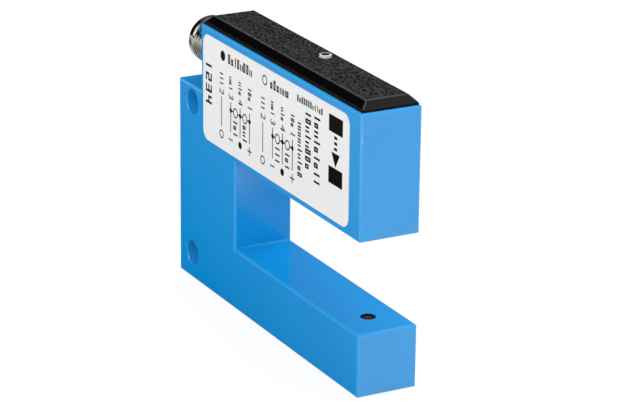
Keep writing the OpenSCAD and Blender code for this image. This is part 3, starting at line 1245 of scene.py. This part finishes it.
    def _mark_rule(self) -> GeometryGraph:
        """Writes the rule for a row of marks: frames and bars in a fixed mixed order, in place of words.

        Returns:
            The tree.
        """
        rule = GeometryGraph("mark_rule")
        count = rule.size("Marks", "NodeSocketInt")
        pitch = rule.size("Pitch")
        tall = rule.size("Tall")
        stroke = rule.size("Stroke")
        ink = rule.size("Ink")
        seed = rule.size("Seed", "NodeSocketInt")
        finish = rule.size("Finish", "NodeSocketMaterial")
        wide = pitch * self.mark_wide
        short = tall * self.mark_low

        def bar(left: Wire | float, low: Wire | float, across: Wire, up: Wire) -> Wire:
            """Makes one bar.

            Args:
                left: place of its left side.
                low: place of its lower side.
                across: its width.
                up: its height.

            Returns:
                The bar.
            """
            size = rule.wire("ShaderNodeCombineXYZ", None, {"X": across, "Y": up, "Z": ink * 2})
            block = rule.wire("GeometryNodeMeshCube", None, {"Size": size})
            spot = rule.wire("ShaderNodeCombineXYZ", None, {"X": across * 0.5 + left, "Y": up * 0.5 + low})
            return rule.wire("GeometryNodeTransform", None, {"Geometry": block, "Translation": spot})

        def together(parts: Sequence[Wire]) -> Wire:
            """Joins several geometries.

            Args:
                parts: the geometries.

            Returns:
                All of them as one.
            """
            join = rule.node("GeometryNodeJoinGeometry")
            for part in parts:
                rule.feed(join.inputs["Geometry"], part)
            return Wire(rule, join.outputs["Geometry"])

        def open_frame(up: Wire) -> Wire:
            """Makes an open frame.

            Args:
                up: its height.

            Returns:
                The frame.
            """
            inner = up - stroke * 2
            sides = [bar(0.0, stroke, stroke, inner), bar(wide - stroke, stroke, stroke, inner)]
            ends = [bar(0.0, 0.0, wide, stroke), bar(0.0, up - stroke, wide, stroke)]
            return together(sides + ends)

        kinds = [
            open_frame(tall),
            open_frame(short),
            bar(stroke, 0.0, stroke, tall),
            together([bar(0.0, 0.0, stroke, short), bar(stroke * 2, 0.0, stroke, short)]),
        ]
        stock = together(
            [rule.wire("GeometryNodeGeometryToInstance", None, {"Geometry": kind}) for kind in kinds]
        )
        step = rule.wire("ShaderNodeCombineXYZ", None, {"X": pitch})
        points = rule.wire("GeometryNodeMeshLine", None, {"Count": count, "Offset": step})
        draw = rule.node("FunctionNodeRandomValue", {"data_type": "INT"}, {"Seed": seed})
        low_key = next(s for s in draw.inputs if s.name == "Min" and s.type == "INT")
        high_key = next(s for s in draw.inputs if s.name == "Max" and s.type == "INT")
        rule.feed(low_key, 0)
        rule.feed(high_key, len(kinds) - 1)
        picked = Wire(rule, next(s for s in draw.outputs if s.type == "INT"))
        row = rule.wire(
            "GeometryNodeInstanceOnPoints",
            None,
            {"Points": points, "Instance": stock, "Pick Instance": True, "Instance Index": picked},
        )
        rule.end(row, finish)
        return rule

    def _marks(self, row: MarkRow) -> None:
        """Prints a row of marks in place of words.

        Args:
            row: the row.
        """
        if self.rule is None:
            self.rule = self._mark_rule()
        sizes = {
            "Marks": row.marks,
            "Pitch": row.tall * self.mark_pitch,
            "Tall": row.tall,
            "Stroke": row.tall * self.mark_stroke,
            "Ink": self.ink,
            "Seed": row.seed,
            "Finish": LABEL_INK.material(),
        }
        self._stamp(self.rule.grow("marks", sizes), row.start, row.reading)

    def _diagram(self, plan: WiringDiagram) -> None:
        """Prints one wiring diagram.

        Args:
            plan: its sizes.
        """
        columns = [plan.left + plan.pitch * step for step in range(len(plan.numbers))]
        for number, u in zip(plan.numbers, columns):
            start = (u - plan.word_tall / 2, plan.word_top)
            self._marks(MarkRow(start, plan.words, plan.word_tall, ord(number), Reading.DOWN))
            self._digit(number, (u, plan.number_v))
            self._upright(u, plan.line_low, plan.line_top)
        for u in columns[1:]:
            self._disc(u, plan.load_v, plan.dot_r)
        for left, right in zip(columns[1:], columns[2:]):
            middle = (left + right) / 2
            self._ring(middle, plan.load_v, plan.load_r)
            self._level(left, middle - plan.load_r, plan.load_v)
            self._level(middle + plan.load_r, right, plan.load_v)
            start = (middle - plan.load_tall / 2, plan.load_v - plan.load_drop)
            self._marks(MarkRow(start, plan.words, plan.load_tall, int(left), Reading.DOWN))
        open_end, minus, output, plus = columns
        self._ring(open_end, plan.mark_v, plan.mark_r)
        self._level(minus - plan.mark_r, minus + plan.mark_r, plan.mark_v)
        self._disc(output, plan.mark_v, plan.mark_r * plan.output_share)
        self._level(plus - plan.mark_r, plus + plan.mark_r, plan.mark_v)
        self._upright(plus, plan.mark_v - plan.mark_r, plan.mark_v + plan.mark_r)

    def _sign(self) -> None:
        """Prints a beam sign: two blocks, and a dashed arrow for the light between them."""
        half = self.sign_wide / 2
        left = self.sign_u - half
        right = self.sign_u + half
        flight = self.sign_top - self.block_tall
        landing = self.sign_low + self.block_tall
        self._bar(left, flight, right, self.sign_top)
        self._bar(left, self.sign_low, right, landing)
        tip = landing + self.stroke
        neck = tip + half
        barb = half * self.arrow_share
        self._prism([(self.sign_u, tip), (self.sign_u + barb, neck), (self.sign_u - barb, neck)])
        thick = half * self.dash_share
        dash = (flight - neck) / (2 * self.dashes + 1)
        for step in range(self.dashes):
            low = neck + dash * (2 * step + 1)
            self._bar(self.sign_u - thick, low, self.sign_u + thick, low + dash)


@dataclass
class Connector:
    """Threaded plug connector with its sealing ring, carrier and contacts."""

    pitch: float = 1.0 * MM
    depth: float = 0.6 * MM
    bare_nose: float = 1.6 * MM
    nose_chamfer: float = 0.5 * MM
    flank: float = 0.45 * MM
    bore: float = 3.05 * MM
    relief: float = 3.3 * MM
    relief_end: float = -24.2 * MM
    relief_slope: float = 0.25 * MM
    wall: float = -23.0 * MM
    steps: int = 96
    contacts: int = 4
    half_width: float = 0.46
    crest: float = 0.18
    root: float = 0.25
    runouts: float = 16.0
    end_gap: float = 0.0005 * MM
    thread_angle: float = 40.0

    def build(self) -> None:
        """Builds the threaded barrel and dresses the rest."""
        self._barrel()
        dress("sealing_ring", SEAL_RUBBER)
        dress("pin_carrier", CARRIER)
        for number in range(1, self.contacts + 1):
            dress(f"contact_pin_{number}", GOLD)

    def _thread_rule(self) -> GeometryGraph:
        """Writes the rule for a thread: a ridge that follows a spiral and runs out at both ends.

        Returns:
            The tree.
        """
        rule = GeometryGraph("thread_rule")
        turns = rule.size("Turns")
        radius = rule.size("Core Radius")
        length = rule.size("Length")
        half = rule.size("Half Width")
        tall = rule.size("Ridge Height")
        finish = rule.size("Finish", "NodeSocketMaterial")
        path = rule.wire(
            "GeometryNodeCurveSpiral",
            None,
            {
                "Resolution": self.steps,
                "Rotations": turns,
                "Start Radius": radius,
                "End Radius": radius,
                "Height": length,
            },
        )
        along = rule.wire("GeometryNodeSplineParameter", None, None, "Factor")
        runout = (along * self.runouts).least((1 - along) * self.runouts).least(1.0)
        path = rule.wire("GeometryNodeSetCurveRadius", None, {"Curve": path, "Radius": runout})
        path = rule.wire("GeometryNodeSetCurveNormal", {"mode": "Z_UP"}, {"Curve": path})
        corners = {}
        spots = ((self.root, -1.0), (-1.0, -self.crest), (-1.0, self.crest), (self.root, 1.0))
        for number, (out, across) in enumerate(spots, 1):
            corner = {"X": tall * out, "Y": half * across}
            corners[f"Point {number}"] = rule.wire("ShaderNodeCombineXYZ", None, corner)
        section = rule.wire("GeometryNodeCurvePrimitiveQuadrilateral", {"mode": "POINTS"}, corners)
        ridge = rule.wire(
            "GeometryNodeCurveToMesh", None, {"Curve": path, "Profile Curve": section, "Fill Caps": True}
        )
        rule.end(ridge, finish)
        return rule

    def _barrel(self) -> None:
        """Turns the barrel and winds its thread."""
        low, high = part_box("connector_barrel")
        axis = (low + high) / 2
        outer = (high.y - low.y) / 2
        core = outer - self.depth
        nose = low.x
        outline = [
            (nose, self.bore),
            (nose, outer - self.nose_chamfer),
            (nose + self.nose_chamfer, outer),
            (nose + self.bare_nose, outer),
            (nose + self.bare_nose + self.flank, core),
            (self.relief_end - self.relief_slope, core),
            (self.relief_end, self.relief),
            (self.wall, self.relief),
            (high.x, self.relief),
            (high.x, self.bore),
        ]
        shape = bmesh.new()
        turn_profile(shape, outline, self.steps)
        shape.transform(Matrix.Translation((0, axis.y, axis.z)))
        piece = place_mesh("barrel_core", shape, [NICKEL])
        smooth(piece)
        hand_over(piece, ["connector_barrel"])
        start = nose + self.bare_nose + self.flank
        length = self.relief_end - start
        sizes = {
            "Turns": length / self.pitch,
            "Core Radius": core,
            "Length": length,
            "Half Width": self.pitch * self.half_width,
            "Ridge Height": self.depth,
            "Finish": NICKEL.material(),
        }
        mesh = self._thread_rule().grow("barrel_thread", sizes)
        mesh.transform(Matrix.Translation((start, axis.y, axis.z)) @ Matrix.Rotation(math.pi / 2, 4, "Y"))
        ridge = bmesh.new()
        ridge.from_mesh(mesh)
        bmesh.ops.remove_doubles(ridge, verts=ridge.verts, dist=self.end_gap)
        bmesh.ops.recalc_face_normals(ridge, faces=ridge.faces)
        thread = place_mesh("barrel_thread", ridge, [NICKEL])
        smooth(thread, self.thread_angle)
        hand_over(thread)


@dataclass
class LightGate:
    """Stops, windows and lamps at both ends of the beam."""

    def build(self) -> None:
        """Dresses both ends."""
        for end in ("emitter", "receiver"):
            dress(f"{end}_stop", STOP)
            dress(f"{end}_window", RED_FILTER)
        dress("emitter_lamp", CLEAR_LAMP)
        dress("receiver_lamp", DARK_LAMP)
        dress("emitter_wire_plus", RED_JACKET)
        dress("emitter_wire_minus", BLACK_JACKET)


@dataclass
class Electronics:
    """Board and its components, closed in under the lid."""

    def build(self) -> None:
        """Dresses the board and the components."""
        dress("circuit_board", LAMINATE)
        dress("indicator_lamp", YELLOW_LAMP)
        dress("amplifier_chip", CHIP)
        dress("output_chip", CHIP)
        dress("protection_diode", CHIP)
        dress("supply_capacitor", CAPACITOR)


@dataclass
class PhotoCamera:
    """Camera at the photograph's angle, for an image of 620 by 420."""

    azimuth: float = 61.768
    elevation: float = 19.754
    roll: float = 0.642
    distance: float = 456.5 * MM
    aim: tuple[float, float, float] = (5.208 * MM, 0.334 * MM, 21.578 * MM)
    lens: float = 165.6
    sensor: float = 36.0
    near: float = 0.01
    far: float = 20.0

    def build(self) -> None:
        """Makes the camera and gives it to the scene."""
        turn = math.radians(self.azimuth)
        rise = math.radians(self.elevation)
        back = Vector((math.sin(turn) * math.cos(rise), -math.cos(turn) * math.cos(rise), math.sin(rise)))
        right = Vector((math.cos(turn), math.sin(turn), 0))
        up = back.cross(right)
        facing = Matrix((right, up, back)).transposed() @ Matrix.Rotation(math.radians(self.roll), 3, "Z")
        data = bpy.data.cameras.new("photo_camera")
        data.lens = self.lens
        data.sensor_width = self.sensor
        data.clip_start = self.near
        data.clip_end = self.far
        camera = bpy.data.objects.new("photo_camera", data)
        camera.matrix_world = Matrix.Translation(Vector(self.aim) + back * self.distance) @ facing.to_4x4()
        bpy.context.scene.collection.objects.link(camera)
        bpy.context.scene.camera = camera


class Surroundings:
    """What the camera, mirrors and glass see of the studio."""

    def __init__(self, graph: ShaderGraph, mirrored: Wire) -> None:
        """Reads the kind of ray.

        Args:
            graph: graph of the floor or the world.
            mirrored: brightness in mirrors and glass; the camera sees white.
        """
        path = graph.node("ShaderNodeLightPath")
        glossy = Wire(graph, path.outputs["Is Glossy Ray"])
        through = Wire(graph, path.outputs["Is Transmission Ray"])
        self.camera = Wire(graph, path.outputs["Is Camera Ray"])
        self.mirror = glossy.most(through)
        self.level = self.camera.most(mirrored.most(0.0).least(1.0))


@dataclass(frozen=True)
class Ramp:
    """Brightness that rises evenly along a direction in a plane."""

    bearing: Point2
    dark: float
    bright: float

    def level(self, first: Wire, second: Wire) -> Wire:
        """Writes the ramp along the plane's two axes: 0 at its dark end, 1 at its bright end."""
        along = first * self.bearing[0] + second * self.bearing[1]
        return (along - self.dark) / (self.bright - self.dark)


@dataclass(frozen=True)
class StudioFloor(Finish):
    """White floor that the camera sees as paper, with the object's shadow kept."""

    tone: Colour
    tip_side: Ramp = Ramp((0.8, -0.6), dark=0.014, bright=0.024)
    back_side: Ramp = Ramp((0.0, 1.0), dark=0.0052, bright=0.0066)
    back_level: float = 0.25
    tip_edge: float = -5.3 * MM
    front_side: Ramp = Ramp((0.27, -0.96), dark=0.0, bright=0.14)
    rear_side: Ramp = Ramp((-0.474, 0.881), dark=0.02, bright=0.032)
    paper: Colour = (0.97, 0.97, 0.97)
    paper_share: float = 0.88

    def shade(self, graph: ShaderGraph) -> None:
        """Writes paper for the camera, a pale floor for the light, and nothing from below.

        Args:
            graph: the material's graph.
        """
        x = graph.axis("X")
        y = graph.axis("Y")
        back = self.back_side.level(x, y).least(1.0) * self.back_level
        tip = self.tip_side.level(x, y).least(1.0) * (y > self.tip_edge)
        rear = self.rear_side.level(x, y)
        seen = Surroundings(graph, self.front_side.level(x, y).most(tip).most(back).most(rear))
        tone = graph.mix(seen.camera, self.tone, self.paper)
        floor = graph.wire("ShaderNodeBsdfDiffuse", None, {"Color": tone})
        paper = graph.wire("ShaderNodeEmission", None, {"Color": WHITE, "Strength": seen.level})
        share = (seen.camera * self.paper_share).most(seen.mirror)
        lit = graph.wire("ShaderNodeMixShader", None, {0: share, 1: floor, 2: paper})
        below = graph.wire("ShaderNodeNewGeometry", None, None, "Backfacing")
        clear = graph.wire("ShaderNodeBsdfTransparent")
        both = graph.wire("ShaderNodeMixShader", None, {0: below, 1: lit, 2: clear})
        graph.node("ShaderNodeOutputMaterial", None, {"Surface": both})


@dataclass
class SoftLamp:
    """Square area lamp that shines on the object's middle. At level 1 a facing colour shows as written."""

    name: str
    bearing: tuple[float, float, float]
    level: float
    distance: float = 0.9
    size: float = 0.9
    mirrored: bool = True

    def build(self, target: Vector) -> None:
        """Makes the lamp.

        Args:
            target: the point that it shines on.
        """
        data = bpy.data.lights.new(self.name, "AREA")
        data.energy = self.level * (math.pi * self.distance) ** 2
        data.size = self.size
        lamp = bpy.data.objects.new(self.name, data)
        spot = target + Vector(self.bearing).normalized() * self.distance
        lamp.location = spot
        lamp.rotation_euler = (target - spot).to_track_quat("-Z", "Y").to_euler()
        lamp.visible_camera = False
        lamp.visible_glossy = self.mirrored
        bpy.context.scene.collection.objects.link(lamp)


@dataclass
class Studio:
    """White floor, even white surroundings and soft lamps."""

    floor_reach: float = 2.0
    floor_drop: float = 0.02 * MM
    floor_tone: Colour = paint(214, 214, 214)
    sky_rise: Ramp = Ramp((0.45, 0.89), dark=0.39, bright=1.4)
    ambient: float = 0.8
    lamps: tuple[SoftLamp, ...] = (
        SoftLamp("front_lamp", (0.36, -0.75, 0.555), level=0.54),
        SoftLamp("back_lamp", (0.0, 0.64, 0.77), level=0.63, mirrored=False),
        SoftLamp("tip_lamp", (1.0, 0.05, 0.03), level=0.07, size=0.08),
        SoftLamp("rear_lamp", (-0.95, 0.12, 0.3), level=0.45, size=0.3, mirrored=False),
    )

    def build(self) -> None:
        """Makes the floor, the surroundings and the lamps."""
        bpy.context.scene.view_settings.view_transform = "Standard"
        self._floor()
        self._sky()
        low, high = CAD_BOX
        for lamp in self.lamps:
            lamp.build((low + high) / 2)

    def _floor(self) -> None:
        """Lays the floor just under the object."""
        shape = bmesh.new()
        reach = self.floor_reach
        corners = [(-reach, -reach), (reach, -reach), (reach, reach), (-reach, reach)]
        shape.faces.new([shape.verts.new((x, y, -self.floor_drop)) for x, y in corners])
        place_mesh("studio_floor", shape, [StudioFloor("studio_paper", self.floor_tone)])

    def _sky(self) -> None:
        """Makes the world white to the camera, brighter upwards and towards the back in mirrors, and an even
        light elsewhere.
        """
        world = bpy.data.worlds.new("studio_world")
        bpy.context.scene.world = world
        graph = ShaderGraph(world)
        bearing = graph.wire("ShaderNodeTexCoord", output="Generated")
        parts = graph.node("ShaderNodeSeparateXYZ", None, {0: bearing})
        y = Wire(graph, parts.outputs["Y"])
        z = Wire(graph, parts.outputs["Z"])
        seen = Surroundings(graph, self.sky_rise.level(y, z))
        share = seen.camera.most(seen.mirror)
        strength = share * seen.level + (1 - share) * self.ambient
        light = graph.wire("ShaderNodeBackground", None, {"Color": WHITE, "Strength": strength})
        graph.node("ShaderNodeOutputWorld", None, {"Surface": light})


def main() -> None:
    """Builds the camera, the studio and each sub-assembly in order."""
    logging.basicConfig(level=logging.INFO, format="%(name)s %(message)s")
    PhotoCamera().build()
    Studio().build()
    for assembly in (ForkBody(), Lid(), TypeLabel(), Connector(), LightGate(), Electronics()):
        LOG.info("building %s", type(assembly).__name__)
        assembly.build()


if __name__ == "__main__":
    main()
